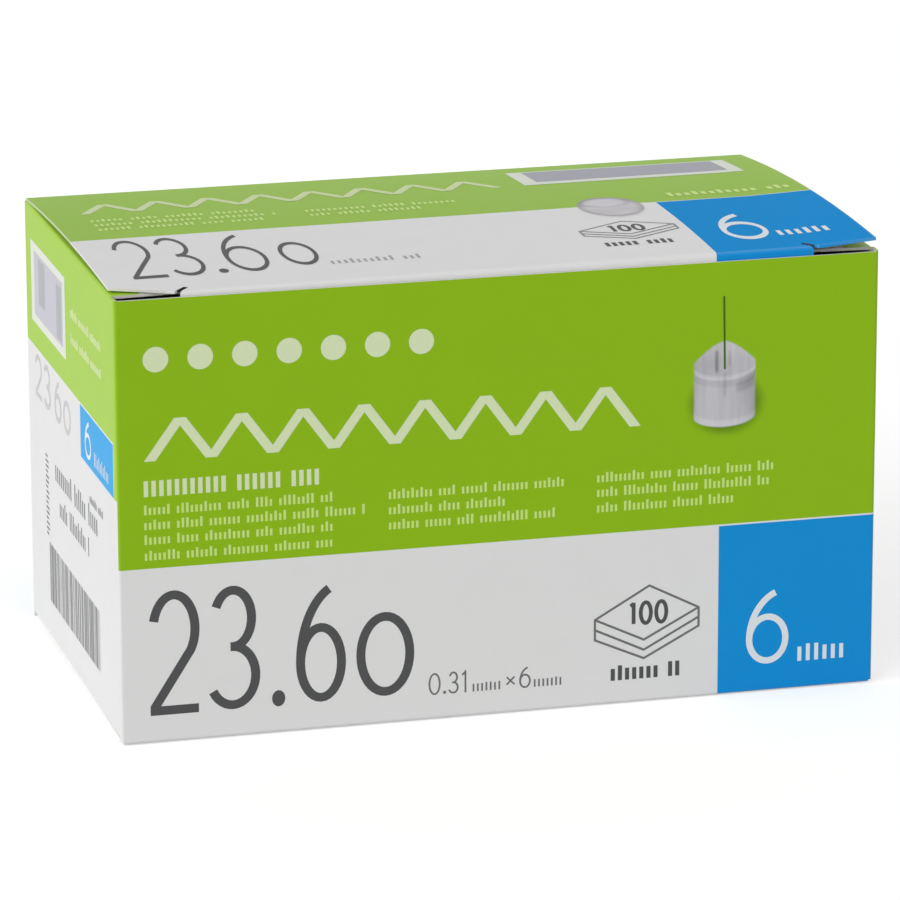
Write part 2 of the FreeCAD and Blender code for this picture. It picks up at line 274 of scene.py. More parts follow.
# %% The carton board
def carton_finish():
    diagonal = 0.70
    outward = 0.35
    skin = 0.6
    flap_level = 79.9
    flap_green_start = 64.5
    recipe = Recipe("printed_board")
    x, y, up = (recipe.axis("Object", letter) for letter in "XYZ")
    face_x, face_y, face_z = (recipe.axis("Normal", letter) for letter in "XYZ")
    behind = recipe.edge(face_y, diagonal, 0.02)
    along = x * (1 - 2 * behind) + width / 2
    inward = y + depth / 2
    on_end = recipe.larger(recipe.edge(-face_y, diagonal, 0.02), behind)
    green_long = recipe.edge(up, long_green_foot)
    blue_long = recipe.edge(along, long_blue_left) * (1 - recipe.edge(up, long_blue_head))
    long_print = recipe.mix(green_long, white, green)
    long_print = recipe.mix(blue_long, long_print, blue)
    blue_depth = recipe.between(inward, side_blue_front, side_blue_rear)
    blue_side = blue_depth * recipe.between(up, side_blue_foot, side_blue_head)
    strip_side = (1 - recipe.edge(inward, side_strip)) * recipe.edge(up, side_blue_foot)
    green_side = recipe.larger(recipe.edge(up, side_green_foot), strip_side)
    # The sides and their flaps take the lighter copies of the inks, which are painted light.
    side_print = recipe.mix(green_side, white, painted_light_green)
    side_print = recipe.mix(blue_side, side_print, painted_light_blue)
    print_colour = recipe.mix(on_end, side_print, long_print)
    on_flap = recipe.edge(up, flap_level, 0.3) * recipe.edge(face_z, 0.5, 0.2)
    flap_print = recipe.mix(recipe.edge(abs(x), flap_green_start), white, painted_light_green)
    print_colour = recipe.mix(on_flap, print_colour, flap_print)
    sides = recipe.edge(abs(x), width / 2 - skin, 0.05) * recipe.edge(abs(face_x), outward)
    ends = recipe.edge(abs(y), depth / 2 - skin, 0.05) * recipe.edge(abs(face_y), outward)
    outer_x = recipe.edge(x * face_x, 0.0, 0.5)
    outer_y = recipe.edge(y * face_y, 0.0, 0.5)
    printed = recipe.larger(sides * outer_x, ends * outer_y)
    flap_top = recipe.edge(up, 79.5, 0.2) * recipe.edge(face_z, outward) * recipe.edge(y, -39.8, 0.05)
    underside = (1 - recipe.edge(up, 0.3, 0.05)) * recipe.edge(-face_z, outward)
    printed = recipe.larger(recipe.larger(printed, flap_top), underside)
    to_corner = (width / 2 - abs(x)) + (depth / 2 - abs(y))
    closeness = 1 - recipe.edge(to_corner, 0.35, 0.3)
    to_foot = 1 - recipe.edge(up, 0.3, 0.25)
    return coated_board(recipe, print_colour, printed, recipe.larger(closeness, to_foot))


board.data.materials.clear()
board.data.materials.append(carton_finish())
print("carton board faces:", len(board.data.polygons))

# %% [markdown]
# The lid is part of the same printed sheet: a green rear half, a white front band and the blue field at
# its right end. Its underside is bare board, and the cut walls of its two short slits are darkened with
# painted shade, as they lie in shadow.

# %% The lid board
def lid_finish():
    slit_start = 54.0
    slit_end = 59.9
    recipe = Recipe("lid_board")
    x, y, up = (recipe.axis("Object", letter) for letter in "XYZ")
    face_x, face_y, face_z = (recipe.axis("Normal", letter) for letter in "XYZ")
    along = x + width / 2
    inward = y + depth / 2
    green_rear = recipe.edge(inward, lid_green_front)
    blue_end = recipe.edge(along, lid_blue_left) * (1 - recipe.edge(inward, lid_blue_rear))
    top_print = recipe.mix(green_rear, white, green)
    top_print = recipe.mix(blue_end, top_print, blue)
    outer_top = recipe.edge(face_z, 0.3, 0.1)
    outer_tuck = recipe.edge(-face_y, 0.5, 0.1) * (1 - recipe.edge(inward, 1.6, 0.1))
    printed = recipe.larger(outer_top, outer_tuck)
    side_wall = recipe.edge(abs(x), width / 2 - 0.4, 0.1) * recipe.edge(abs(face_x), 0.5)
    printed = recipe.larger(printed, side_wall * 0.5)
    to_crease = recipe.between(inward, 0.85, 1.25, 0.2)
    to_side = recipe.edge(abs(x), width / 2 - 0.55, 0.2)
    # Painted shade: the raw cut walls of the slits are darkened as if in shadow.
    near_cut = recipe.between(abs(x), slit_start, slit_end, 0.1) * recipe.edge(up, 79.0, 0.3)
    slit_wall_shade = near_cut * recipe.edge(abs(face_x), 0.25, 0.1)
    closeness = recipe.larger(to_crease, to_side)
    return coated_board(recipe, top_print, printed, closeness, blue_end * 0.35, slit_wall_shade * 0.9)


lid.data.materials.clear()
lid.data.materials.append(lid_finish())
print("lid faces:", len(lid.data.polygons))

# %% [markdown]
# ## Print as thin shapes
#
# Numerals, marks and bars are laid on the board as flat shapes that stand a few hundredths of a millimetre
# proud. Each is drawn in millimetres from the lower left of its face, and is then placed on the board.

# %% Lines of one thickness
cap_steps = 8


def bow(centre_u, centre_v, radius_u, radius_v, start, end, steps=24):
    """Points along part of an ellipse, by angle in degrees."""
    turns = [math.radians(start + (end - start) * i / steps) for i in range(steps + 1)]
    return [(centre_u + radius_u * math.cos(t), centre_v + radius_v * math.sin(t)) for t in turns]


def ribbon(line, thickness, longest=1.5, rounded=True):
    """Quads of one thickness along a line, with round or flat ends; a line may close on itself."""
    points = [line[0]]
    for start, end in zip(line, line[1:]):
        parts = max(1, math.ceil(math.dist(start, end) / longest))
        for i in range(1, parts + 1):
            points.append(tuple(s + (e - s) * i / parts for s, e in zip(start, end)))
    closed = math.dist(points[0], points[-1]) < 0.001
    half = thickness / 2
    corners = []
    faces = []
    for i, (u, v) in enumerate(points):
        before = points[i - 1] if i else points[-2 if closed else 0]
        after = points[i + 1] if i + 1 < len(points) else points[1 if closed else -1]
        step_u = after[0] - before[0]
        step_v = after[1] - before[1]
        reach = math.hypot(step_u, step_v) or 1.0
        side_u = -step_v / reach * half
        side_v = step_u / reach * half
        corners += [(u + side_u, v + side_v), (u - side_u, v - side_v)]
        if i:
            k = 2 * i
            faces.append((k - 2, k - 1, k + 1, k))
    if rounded and not closed:
        for tip, beside, sign in ((0, 0, 1), (len(points) - 1, 2 * len(points) - 2, -1)):
            u, v = points[tip]
            first = math.atan2(corners[beside][1] - v, corners[beside][0] - u)
            ring = [first + sign * math.pi * i / cap_steps for i in range(cap_steps + 1)]
            start = len(corners)
            corners += [(u + half * math.cos(t), v + half * math.sin(t)) for t in ring]
            cap = list(range(start, len(corners)))
            faces.append(tuple(cap if sign > 0 else reversed(cap)))
    return corners, faces


print("a 10 mm bar takes", len(ribbon([(0, 0), (10, 0)], 1.0)[1]), "faces")

# %% [markdown]
# Filled shapes are a plate, a leaning stroke and an ellipse. A plate or an ellipse can be cut into cells, to
# follow a bowed face.

# %% Filled flat shapes
coarse = 20.0


def plate(low_u, low_v, high_u, high_v, longest=2.0):
    """A filled rectangle in small cells, to follow a bowed face, or in coarse ones on a flat face."""
    across = max(1, math.ceil((high_u - low_u) / longest))
    along = max(1, math.ceil((high_v - low_v) / longest))
    corners = [(low_u + (high_u - low_u) * i / across, low_v + (high_v - low_v) * j / along)
               for j in range(along + 1) for i in range(across + 1)]
    row = across + 1
    faces = [(j * row + i, j * row + i + 1, (j + 1) * row + i + 1, (j + 1) * row + i)
             for j in range(along) for i in range(across)]
    return corners, faces


def slanted_stroke(foot_u, head_u, low_v, high_v, wide):
    """A leaning stroke with level ends, as in a zigzag border."""
    corners = [(foot_u, low_v), (foot_u + wide, low_v), (head_u + wide, high_v), (head_u, high_v)]
    return corners, [(0, 1, 2, 3)]


def lens(centre_u, centre_v, radius_u, radius_v, steps=28, rings=2):
    """A filled ellipse."""
    corners = [(centre_u, centre_v)]
    for ring in range(1, rings + 1):
        share = ring / rings
        corners += bow(centre_u, centre_v, radius_u * share, radius_v * share, 0, 360, steps)[:-1]
    faces = [(0, 1 + i, 1 + (i + 1) % steps) for i in range(steps)]
    for ring in range(1, rings):
        inner = 1 + (ring - 1) * steps
        outer = inner + steps
        for i in range(steps):
            after = (i + 1) % steps
            faces.append((inner + i, outer + i, outer + after, inner + after))
    return corners, faces


print("a disc takes", len(lens(0, 0, 1, 1)[1]), "faces")

# %% [markdown]
# ## Plain numerals
#
# The pack carries big thin numerals. These are plain numbers, drawn as centre lines of even thickness.

# %% Numeral centre lines
finest_square_end = 0.6


def numeral(digit, u, v, wide, tall):
    """Centre lines of one plain digit in a box, from its lower left corner."""
    lines = {
        "0": [bow(0.5, 0.5, 0.5, 0.5, 90, 450, 40)],
        "1": [[(0.26, 0.86), (0.62, 0.98)], [(0.62, 1.02), (0.62, 0.0)]],
        "2": [bow(0.49, 0.70, 0.45, 0.30, 165, -38) + [(0.04, 0.02)], [(-0.04, 0.0), (1.0, 0.0)]],
        "3": [bow(0.46, 0.755, 0.42, 0.245, 155, -90), bow(0.44, 0.255, 0.52, 0.255, 95, -150)],
        "6": [bow(0.5, 0.31, 0.48, 0.31, 0, 360, 36), bow(1.06, 0.31, 1.04, 0.69, 110, 180)],
    }[digit]
    return [[(u + wide * a, v + tall * b) for a, b in line] for line in lines]


def figures(text, places, foot, tall, thickness):
    """Several digits, each at its own left edge and width; only fine strokes get round ends."""
    shapes = []
    for digit, (u, wide) in zip(text, places):
        for line in numeral(digit, u, foot, wide, tall):
            shapes.append(ribbon(line, thickness, rounded=thickness < finest_square_end))
    return shapes


def stretched(shapes, foot, factor):
    """Shapes pulled taller from their foot, so that level strokes grow heavier than upright ones."""
    return [([(u, foot + (v - foot) * factor) for u, v in flat], joined) for flat, joined in shapes]


print("digits drawn:", "0 1 2 3 6")

# %% [markdown]
# The small rows are made of upright ticks, tall and short, in groups of a word's length. They have the
# weight of fine print and say nothing.

# %% Rows of ticks
tall_share = 0.3
word_gap = 0.5


def tick_row(low_u, high_u, foot, tall, seed, weight=0.25, pitch=0.46, short=0.72):
    """Groups of upright ticks; the groups' lengths and the tall ones come from a fixed seed."""
    draw = random.Random(seed)
    shapes = []
    thick = weight * tall
    u = low_u
    while u < high_u - thick:
        for _ in range(draw.randint(4, 11)):
            if u > high_u - thick:
                break
            top = tall if draw.random() < tall_share else short * tall
            shapes.append(plate(u, foot, u + thick, foot + top, coarse))
            u += pitch * tall
        u += word_gap * tall
    return shapes


print("ticks in a 40 mm row:", len(tick_row(0, 40, 0, 1.9, 5)))

# %% [markdown]
# ## Laying shapes on the faces
#
# Each face of the carton turns its own flat millimetres into a place. The flat faces need only sums. The
# lid is bowed, so its height comes from a ray cast down on to the CAD lid.

# %% From flat millimetres to each face
proud = 0.015
proud_on_bow = 0.03
over_facets = 0.01
above_all = 200.0
lid_rays = BVHTree.FromObject(lid, bpy.context.evaluated_depsgraph_get())


def on_front(u, v, lift):
    return Vector((u - width / 2, -depth / 2 - lift, v)) * MM


def on_back(u, v, lift):
    return Vector((width / 2 - u, depth / 2 + lift, v)) * MM


def on_left(u, v, lift):
    return Vector((-width / 2 - lift, depth / 2 - u, v)) * MM


def on_right(u, v, lift):
    return Vector((width / 2 + lift, u - depth / 2, v)) * MM


def on_lid(u, v, lift):
    start = Vector((u - width / 2, v - depth / 2, above_all)) * MM
    spot = lid_rays.ray_cast(start, Vector((0, 0, -1)))[0]
    return spot + Vector((0, 0, lift + over_facets)) * MM


print("the middle of the lid is", round(on_lid(width / 2, depth / 2, 0.0).z / MM, 2), "mm up")

# %% [markdown]
# A piece of print is one mesh of many flat shapes. It rides on the body under it. Crossing strokes would
# flicker if they lay at one height, so each lies a trace above the last.

# %% Laying a piece
trace_rise = 0.003
trace_levels = 5


def new_piece(name, corners, faces, finishes):
    """A mesh object in the scene, with one or more finishes."""
    mesh = bpy.data.meshes.new(name)
    mesh.from_pydata(corners, [], faces)
    mesh.validate()
    for finish in finishes:
        mesh.materials.append(finish)
    piece = bpy.data.objects.new(name, mesh)
    bpy.context.scene.collection.objects.link(piece)
    return piece


def lay(name, shapes, place, finish, body="carton", lift=None):
    """Joins flat shapes into one ink piece, places it on a face and lets it ride on a body."""
    if lift is None:
        lift = proud_on_bow if body == "lid" else proud
    corners = []
    faces = []
    for number, (flat, joined) in enumerate(shapes):
        start = len(corners)
        trace = trace_rise * (number % trace_levels)
        corners += [place(u, v, lift + trace) for u, v in flat]
        faces += [tuple(start + i for i in face) for face in joined]
    piece = new_piece(name, corners, faces, [finish])
    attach(piece, body)
    print(name, "has", len(faces), "faces")


print("laid print stands", proud, "mm proud, and", proud_on_bow, "mm on the lid")

# %% [markdown]
# The inks of the laid pieces vary in tone and gloss, as the board's own print does.

# %% Inks of the laid pieces
def ink_finish(name, ink):
    """Ink on coated board: slight unevenness of tone and gloss."""
    recipe = Recipe(name)
    mottle = recipe.noise(0.35, 4.0)
    uneven = recipe.toned(ink, 0.95 + 0.1 * mottle)
    roughness = coat_roughness - 0.04 + 0.1 * mottle
    relief = mottle * 0.5 + recipe.noise(2.4, 2.0) * 0.9
    return recipe.finish(uneven, roughness, relief, coat_relief, Specular_IOR_Level=coat_gloss)


dark_ink = ink_finish("dark_ink", dark_grey)
pale_ink = ink_finish("pale_ink", screen(226, 240, 196))
fine_ink = ink_finish("fine_ink", screen(212, 240, 138))
white_ink = ink_finish("white_ink", screen(238, 244, 248))
label_ink = ink_finish("label_ink", screen(234, 239, 226))
lilac_ink = ink_finish("lilac_ink", screen(205, 202, 214))
label_shade_ink = ink_finish("label_shade_ink", screen(180, 184, 187))
mid_ink = ink_finish("mid_ink", screen(118, 118, 120))
faint_ink = ink_finish("faint_ink", screen(206, 206, 210))
side_fine_ink = ink_finish("side_fine_ink", screen(226, 244, 176))
print("dark ink in linear light:", [round(c, 3) for c in dark_grey])

# %% [markdown]
# ## The front and the back
#
# Both long faces carry the same print: numerals, a stack mark with the count, a single big digit on the
# blue field, rows of ticks, and two plain borders, one of discs and one of a zigzag.

# %% Marks and borders
def disc_row(low_u, high_u, v, radius, count):
    pitch = (high_u - low_u) / (count - 1)
    return [lens(low_u + pitch * i, v, radius, radius) for i in range(count)]


def zigzag(low_u, high_u, low_v, high_v, legs, wide):
    """A border of leaning strokes that go up and down in turn."""
    run = (high_u - low_u - wide) / legs
    shapes = []
    for leg in range(legs):
        ends = [low_u + run * leg, low_u + run * (leg + 1)]
        if leg % 2:
            ends.reverse()
        shapes.append(slanted_stroke(ends[0], ends[1], low_v, high_v, wide))
    return shapes


def slab_mark(u, v, stretch=1.0):
    """Outline of a flat stack of two slabs, seen from a corner, from its lower left."""
    top = [(0.4, 7.9), (10.6, 13.6), (19.9, 8.8), (9.6, 3.5), (0.4, 7.9)]
    middle = [(0.4, 6.0), (9.6, 1.6), (19.9, 7.0)]
    foot = [(0.4, 7.9), (0.4, 4.1), (9.6, 0.0), (19.9, 5.3), (19.9, 8.8)]
    strokes = []
    for line in (top, middle, foot):
        for (from_u, from_v), (to_u, to_v) in zip(line, line[1:]):
            ends = [(u + from_u, v + stretch * from_v), (u + to_u, v + stretch * to_v)]
            strokes.append(ribbon(ends, 0.42))
    return strokes


print("strokes in the stack mark:", len(slab_mark(0, 0)))

# %% [markdown]
# One function lays all of it on either long face, in millimetres from the face's lower left corner.

# %% Front and back print
def long_face_print(side, place):
    stroke = 1.65
    big = figures("23", [(5.8, 8.4), (16.9, 8.0)], 5.9, 21.2, stroke)
    big += [lens(28.7, 6.4, 1.2, 1.5)]
    big += figures("6", [(32.6, 7.8)], 5.9, 21.0, stroke)
    big += figures("0", [(43.8, 9.0)], 6.0, 14.0, stroke)
    lay(side + "_numerals", big, place, dark_ink)
    count = figures("100", [(93.4, 1.7), (95.8, 1.9), (98.7, 1.9)], 14.8, 3.9, 0.72)
    count += tick_row(90.2, 103.7, 4.4, 2.8, 3, 0.28, 0.48, 0.8)
    lay(side + "_count", count, place, dark_ink)
    lay(side + "_slab_mark", slab_mark(86.8, 8.2), place, mid_ink)
    hair = 0.34
    small = figures("0", [(56.4, 1.9)], 4.7, 3.8, hair) + [lens(59.2, 4.9, 0.3, 0.3)]
    small += figures("31", [(60.1, 1.6), (62.2, 1.4)], 4.7, 3.8, hair)
    small += tick_row(64.4, 69.7, 4.6, 1.6, 4, 0.2, 0.5, 0.9)
    small += [ribbon([(70.8, 5.4), (72.1, 6.7)], 0.3), ribbon([(70.8, 6.7), (72.1, 5.4)], 0.3)]
    small += figures("6", [(73.2, 1.9)], 4.6, 3.8, hair)
    small += tick_row(75.8, 81.2, 4.5, 1.6, 5, 0.2, 0.5, 0.9)
    lay(side + "_small_figures", small, place, mid_ink)
    on_blue = figures("6", [(116.2, 7.2)], 5.8, 13.4, 1.2)
    on_blue += tick_row(125.6, 135.6, 5.2, 3.2, 9, 0.24, 0.5, 0.85)
    lay(side + "_size_digit", on_blue, place, white_ink)
    lay(side + "_disc_border", disc_row(7.4, 55.2, 70.0, 2.3, 7), place, pale_ink)
    lay(side + "_zigzag_border", zigzag(5.0, 95.6, 51.7, 59.3, 16, 2.1), place, pale_ink)
    heading = tick_row(4.9, 37.6, 45.3, 2.9, 12, 0.28, 0.48, 1.0)
    lay(side + "_heading_ticks", heading, place, pale_ink)
    rows = [(4.9, 38.9, 42.0), (4.9, 44.9, 39.3), (4.9, 38.9, 36.6), (4.9, 39.1, 33.7),
            (49.1, 81.7, 41.6), (49.1, 71.9, 38.8), (49.1, 79.9, 36.0),
            (87.5, 120.9, 41.8), (87.5, 120.3, 39.1), (87.5, 113.6, 36.2)]
    words = []
    for number, (low_u, high_u, foot) in enumerate(rows):
        words += tick_row(low_u, high_u, foot, 1.8, 20 + number)
    lay(side + "_fine_ticks", words, place, fine_ink)


long_face_print("front", on_front)
long_face_print("back", on_back)

# %% [markdown]
# The small picture on each long face shows a needle on its hub: a round cup of pale plastic with a post in
# its middle and a fine needle that stands up from it. It is flat print, so its roundness comes from tone.
# Each tone is a sum over millimetres of the picture, and a halo fades into the green round it.

# %% The needle picture
hub_middle = 111.2
hub_radius = 5.9
hub_rim = 61.5
hub_foot = 52.5
hub_crown = 66.4
needle_tip = 74.4


def level_arc(recipe, across, level, sag):
    """Height of the near half of a level ring, seen from a little above."""
    return level - sag * recipe.larger(1 - across * across, 0.0) ** 0.5


def hub_tone(recipe, across, up, over_rim, over_foot):
    """Light left of the middle and darker at both sides, with streaks, a pale rim and a post."""
    between = recipe.between
    sides = abs(across + 0.15) ** 3.0
    streaks = recipe.edge(recipe.noise(1.4, 2.0, (1, 1, 9)), 0.5, 0.25)
    outside = 0.93 - 0.2 * sides + 0.13 * (1 - recipe.edge(over_foot, 1.3, 0.4))
    outside = outside - 0.10 * between(over_rim, -1.7, -0.5, 0.35)
    outside = outside - 0.16 * between(across, 0.35, 0.92, 0.08) * between(over_rim, -2.9, -1.2, 0.5)
    inside = 0.80 + 0.10 * recipe.edge(across, 0.1, 0.7) + 0.10 * recipe.edge(up, 63.6, 1.6)
    inside = inside - 0.34 * between(across, -0.31, -0.2, 0.05) * between(up, 60.6, 64.6, 0.5)
    inside = inside - 0.16 * between(across, 0.12, 0.2, 0.05) * between(up, 61.6, 64.4, 0.5)
    tone = outside + recipe.edge(over_rim, 0.0, 0.15) * (inside - outside)
    tone = tone + 0.14 * between(over_rim, -0.35, 0.45, 0.3) - 0.13 * streaks
    return tone - 0.16 * between(across, -0.05, 0.05, 0.04) * between(up, 56.0, 60.4, 0.6)


def picture_finish(name, facing):
    """The hub, its halo and the green round them, all in one printed finish."""
    recipe = Recipe(name)
    right = recipe.axis("Object", "X") * facing - (hub_middle - width / 2)
    across = right * (1 / hub_radius)
    up = recipe.axis("Object", "Z")
    over_rim = up - level_arc(recipe, across, hub_rim, 2.1)
    over_foot = up - level_arc(recipe, across, hub_foot, 2.2)
    under_top = hub_crown - 3.9 * abs(across) ** 1.5 - up
    on_hub = recipe.edge(under_top, 0.15, 0.3) * recipe.edge(over_foot, 0.1, 0.2)
    on_hub = on_hub * (1 - recipe.edge(abs(across), 0.97, 0.05))
    halo_reach = recipe.reach((right - 0.3) * (1 / 8.2), (up - 54.8) * (1 / 6.8))
    shade = recipe.mix(1 - recipe.edge(halo_reach, 0.8, 0.2), green, screen(98, 138, 14))
    tone = hub_tone(recipe, across, up, over_rim, over_foot)
    plastic = recipe.toned(screen(219, 218, 224), tone)
    return coated_board(recipe, recipe.mix(on_hub, shade, plastic), 1.0, 0.0)


def needle_picture(side, place, facing):
    """facing is 1 where a face's millimetres run along X, and -1 where they run against it."""
    lay(side + "_hub_picture", [lens(hub_middle, 57.6, 8.8, 10.0, 40, 6)], place,
        picture_finish(side + "_hub_ink", facing), lift=0.012)
    needle = [(hub_middle, hub_rim - 0.3), (hub_middle - 0.25, needle_tip)]
    lay(side + "_needle_line", [ribbon(needle, 0.36)], place,
        ink_finish(side + "_needle_ink", screen(72, 104, 26)), lift=0.04)


needle_picture("front", on_front, 1.0)
needle_picture("back", on_back, -1.0)

# %% [markdown]
# ## The sides
#
# Each side carries a label window, a block of plain stripes, faint numerals and rows of ticks. The right
# side isn't seen in the photo and repeats the left one.

# %% Side print
def stripe_block(low_u, high_u, low_v, high_v, seed):
    """Upright stripes of several widths, as a row of plain strips."""
    widths = random.Random(seed)
    shapes = []
    u = low_u
    while u < high_u:
        thick = widths.choice((0.3, 0.3, 0.6, 0.9))
        shapes.append(plate(u, low_v, min(u + thick, high_u), high_v, coarse))
        u += thick + widths.choice((0.35, 0.35, 0.7))
    return shapes


def side_face_print(side, place, from_front):
    """from_front turns a distance from the front edge into this face's own left-to-right millimetres."""
    def span(low, high):
        ends = sorted((from_front(low), from_front(high)))
        return ends[0], ends[1]

    left, right = span(43.4, 75.7)
    lay(side + "_label_border", [plate(left, 59.6, right, 75.0, coarse)], place, label_ink, lift=0.02)
    left, right = span(45.8, 72.6)
    lay(side + "_label_field", [plate(left, 61.3, right, 73.4, coarse)], place, lilac_ink, lift=0.03)
    bands = []
    for low, high, foot, top in ((62.5, 68.4, 64.1, 72.7), (47.2, 51.6, 62.0, 72.1)):
        left, right = span(low, high)
        bands.append(plate(left, foot, right, top, coarse))
    lay(side + "_label_bands", bands, place, label_shade_ink, lift=0.04)
    left, right = span(10.9, 38.5)
    pale = tick_row(left, right, 68.9, 1.9, 51, 0.34) + tick_row(left, right, 64.0, 1.9, 52, 0.34)
    lay(side + "_pale_ticks", pale, place, side_fine_ink)
    left, right = span(16.9, 63.2)
    lay(side + "_stripes", stripe_block(left, right, 8.4, 19.8, 60), place, mid_ink)
    dark = []
    dark_rows = ((16.7, 56.0, 33.6, 4.2), (24.0, 52.4, 27.6, 3.6), (11.5, 24.0, 38.2, 1.6))
    for low, high, foot, tall in dark_rows:
        left, right = span(low, high)
        dark += tick_row(left, right, foot, tall, round(foot), 0.2, 0.42)
    left, right = span(62.6, 65.4)
    for rung in range(16):
        foot = 21.0 + rung
        end = right if rung % 3 else left + 2.0
        dark.append(plate(left, foot, end, foot + 0.42, coarse))
    lay(side + "_dark_ticks", dark, place, mid_ink)
    left = span(36.4, 73.6)[0]
    numbers = figures("236", [(left, 6.0), (left + 8.6, 5.6), (left + 18.6, 5.6)], 46.0, 7.4, 1.0)
    numbers += figures("0", [(left + 27.0, 5.8)], 46.0, 5.4, 1.0)
    lay(side + "_faint_numerals", numbers, place, faint_ink)
    left, right = span(6.6, 27.0)
    on_blue = figures("6", [(left, 5.0)], 46.4, 6.6, 0.8)
    on_blue += tick_row(left + 8.0, right, 46.2, 2.6, 61, 0.2, 0.5)
    lay(side + "_size_digit", on_blue, place, white_ink)


side_face_print("left", on_left, lambda inward: depth - inward)
side_face_print("right", on_right, lambda inward: inward)

# %% [markdown]
# ## The lid's print
#
# The lid repeats the front's print, packed closer, on its white band, its blue field and its green.

# %% Lid print
lid_dark_ink = ink_finish("lid_dark_ink", screen(64, 62, 60))
lid_grey_ink = ink_finish("lid_grey_ink", screen(142, 140, 138))
lid_faint_ink = ink_finish("lid_faint_ink", screen(172, 170, 170))
lid_pale_ink = ink_finish("lid_pale_ink", screen(214, 230, 172))
label_grey_ink = ink_finish("label_grey_ink", screen(168, 168, 180))
numeral_foot = 10.4
lid_stroke = 0.72
big = figures("23", [(6.2, 6.0), (14.0, 5.8)], numeral_foot, 10.6, lid_stroke)
big += [lens(22.3, 10.7, 0.85, 0.55)]
big += figures("6", [(24.6, 6.8)], numeral_foot, 10.6, lid_stroke)
big += figures("0", [(34.7, 5.8)], 11.1, 6.0, lid_stroke)
lay("lid_numerals", stretched(big, numeral_foot, 2.35), on_lid, lid_dark_ink, "lid")
mark_left = 89.6
squeeze = 0.92
squeezed = []
for flat, joined in slab_mark(mark_left, 13.2, 0.9):
    squeezed.append(([(mark_left + squeeze * (u - mark_left), v) for u, v in flat], joined))
lay("lid_slab_mark", squeezed, on_lid, lid_grey_ink, "lid")
small_row = tick_row(41.8, 58.8, 10.6, 2.6, 92, 0.2, 0.46)
lay("lid_small_ticks", small_row, on_lid, lid_faint_ink, "lid")
lid_count = figures("100", [(95.4, 1.5), (97.6, 1.7), (100.2, 1.7)], 18.6, 3.9, 0.7)
lid_count += tick_row(92.0, 105.0, 9.3, 2.7, 91, 0.28, 0.48, 0.85)
lay("lid_count", lid_count, on_lid, lid_dark_ink, "lid")
digit_foot = 8.4
on_lid_blue = stretched(figures("6", [(115.2, 7.6)], digit_foot, 8.2, 0.95), digit_foot, 2.0)
on_lid_blue += tick_row(124.2, 135.4, 8.8, 3.6, 93, 0.24, 0.48, 0.85)
lay("lid_size_digit", on_lid_blue, on_lid, white_ink, "lid")

# %% [markdown]
# The needle's hub is printed on the lid too. Its tones are sums over millimetres as on the front, but here
# they run along the lid, so the hub is a pale ring with a dark rim.

# %% The hub on the lid
lid_hub_u = 100.75
lid_hub_v = 36.9


def lid_hub_finish():
    """The hub on the lid, seen as a pale ring with a dark rim and streaks along it."""
    recipe = Recipe("lid_hub_ink")
    right = recipe.axis("Object", "X") + width / 2 - lid_hub_u
    inward = recipe.axis("Object", "Y") + depth / 2
    outer = recipe.reach(right * (1 / 6.2), (inward - lid_hub_v) * (1 / 8.2))
    inner = recipe.reach((right + 0.4) * (1 / 4.3), (inward - 40.4) * (1 / 3.6))
    streaks = recipe.edge(recipe.noise(1.8, 2.0, (5, 1, 1)), 0.5, 0.2)
    tone = 0.92 - 0.36 * recipe.edge(outer, 0.84, 0.16) - 0.12 * streaks
    tone = tone + 0.08 * (1 - recipe.edge(inner, 0.8, 0.2))
    tone = tone - 0.14 * recipe.between(inner, 0.9, 1.15, 0.12)
    plastic = recipe.toned(screen(222, 218, 224), tone)
    under = recipe.mix(recipe.edge(inward, lid_green_front), white, green)
    on_hub = 1 - recipe.edge(outer, 0.97, 0.05)
    return coated_board(recipe, recipe.mix(on_hub, under, plastic), 1.0, 0.0)


hub_shape = [lens(lid_hub_u, lid_hub_v, 6.5, 8.6, 36, 5)]
lay("lid_hub", hub_shape, on_lid, lid_hub_finish(), "lid", lift=0.012)

# %% [markdown]
# A label window, a zigzag and rows of ticks lie on the lid's green half. The label's two plates are cut
# into small cells, so that they follow the bow.

# %% Label, zigzag and ticks on the lid
lay("lid_label_border", [plate(91.0, 60.4, 134.0, 74.6)], on_lid, label_ink, "lid", lift=0.03)
lay("lid_label_field", [plate(94.0, 63.0, 131.4, 73.9)], on_lid, label_grey_ink, "lid", lift=0.05)
lay("lid_zigzag_border", zigzag(6.4, 86.6, 60.0, 68.4, 16, 1.9), on_lid, lid_pale_ink, "lid")
lid_words = []
lid_rows = [(7.0, 38.0, 52.6), (7.0, 41.0, 48.8), (7.0, 38.5, 45.0),
            (46.4, 76.5, 49.4), (46.4, 68.0, 45.6)]
for number, (low_u, high_u, foot) in enumerate(lid_rows):
    lid_words += tick_row(low_u, high_u, foot, 2.3, 100 + number)
lid_words += tick_row(113.6, 137.0, 41.8, 3.2, 106, 0.3, 0.5)
lay("lid_fine_ticks", lid_words, on_lid, fine_ink, "lid")

# %% [markdown]
# ## Sealed pods
#
# Each pod is a tapered cup of translucent white plastic with grip ribs, a flange and a peel-off paper seal
# with a tab. CAD keeps a plain turned solid for each. Here one pod is drawn as rings of points, each ring a
# circle that swells at the ribs, and copied to every seat.

# %% Plastic and seal paper
def pod_finish():
    recipe = Recipe("pod_plastic")
    flow = recipe.noise(3.0, 3.0, (1, 1, 3))
    speck = recipe.noise(0.25, 3.0)
    base = recipe.toned(screen(236, 240, 244), 0.95 + 0.07 * flow)
    relief = flow * 0.6 + speck * 0.2
    return recipe.finish(base, 0.24 + 0.1 * speck, relief, 0.02,
                         Subsurface_Weight=0.25, Subsurface_Scale=2.0 * MM)


